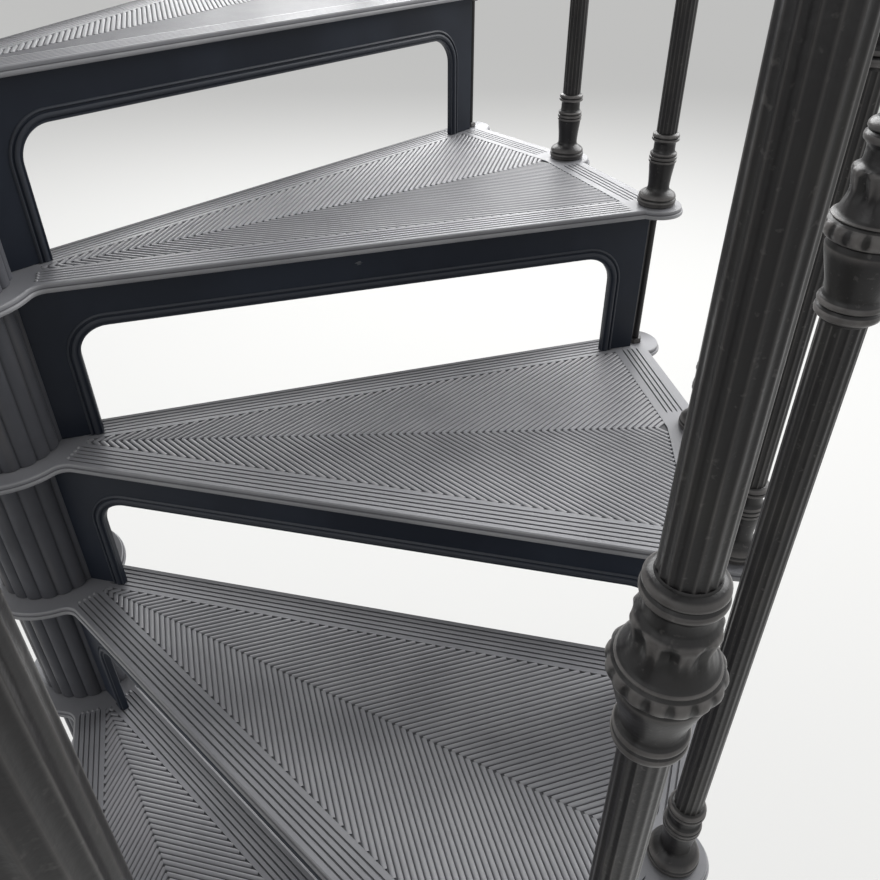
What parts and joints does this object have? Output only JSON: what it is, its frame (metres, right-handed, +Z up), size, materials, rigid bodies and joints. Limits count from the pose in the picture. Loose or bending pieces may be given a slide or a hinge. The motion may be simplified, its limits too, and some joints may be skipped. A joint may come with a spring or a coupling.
{
  "type": "cast iron spiral staircase",
  "caption": "Cast iron spiral stair of one full turn: fan treads with ribbed chevron tops, open risers, fluted column and turned balusters under a helical rail.",
  "frame": {"origin": "column axis at floor level, on the underside of the base flange", "axes": "+Z up along the column; +X from the column to the front ear of the first step; the stair climbs counter-clockwise seen from above"},
  "size_m": [1.724, 1.724, 3.53],
  "materials": {
    "tread_paint": "satin charcoal paint, worn on the ridges",
    "riser_paint": "satin blue-black paint",
    "column_paint": "satin charcoal paint",
    "baluster_paint": "weathered black-brown paint",
    "rail_paint": "smooth satin black paint, polished by hands"
  },
  "bodies": {
    "root": {"base_flange": "column_paint", "centre_post": "column_paint", "column_drums": "column_paint", "column_cap": "column_paint", "tie_rods": "baluster_paint", "tread_01": "tread_paint", "tread_02": "tread_paint", "tread_03": "tread_paint", "tread_04": "tread_paint", "tread_05": "tread_paint", "tread_06": "tread_paint", "tread_07": "tread_paint", "tread_08": "tread_paint", "tread_09": "tread_paint", "tread_10": "tread_paint", "tread_11": "tread_paint", "tread_12": "tread_paint", "riser_01": "riser_paint", "riser_02": "riser_paint", "riser_03": "riser_paint", "riser_04": "riser_paint", "riser_05": "riser_paint", "riser_06": "riser_paint", "riser_07": "riser_paint", "riser_08": "riser_paint", "riser_09": "riser_paint", "riser_10": "riser_paint", "riser_11": "riser_paint", "riser_12": "riser_paint", "balusters_01": "baluster_paint", "balusters_02": "baluster_paint", "balusters_03": "baluster_paint", "balusters_04": "baluster_paint", "balusters_05": "baluster_paint", "balusters_06": "baluster_paint", "balusters_07": "baluster_paint", "balusters_08": "baluster_paint", "balusters_09": "baluster_paint", "balusters_10": "baluster_paint", "balusters_11": "baluster_paint", "balusters_12": "baluster_paint", "handrail_1": "rail_paint", "handrail_2": "rail_paint", "handrail_3": "rail_paint", "handrail_4": "rail_paint"}
  },
  "joints": []
}
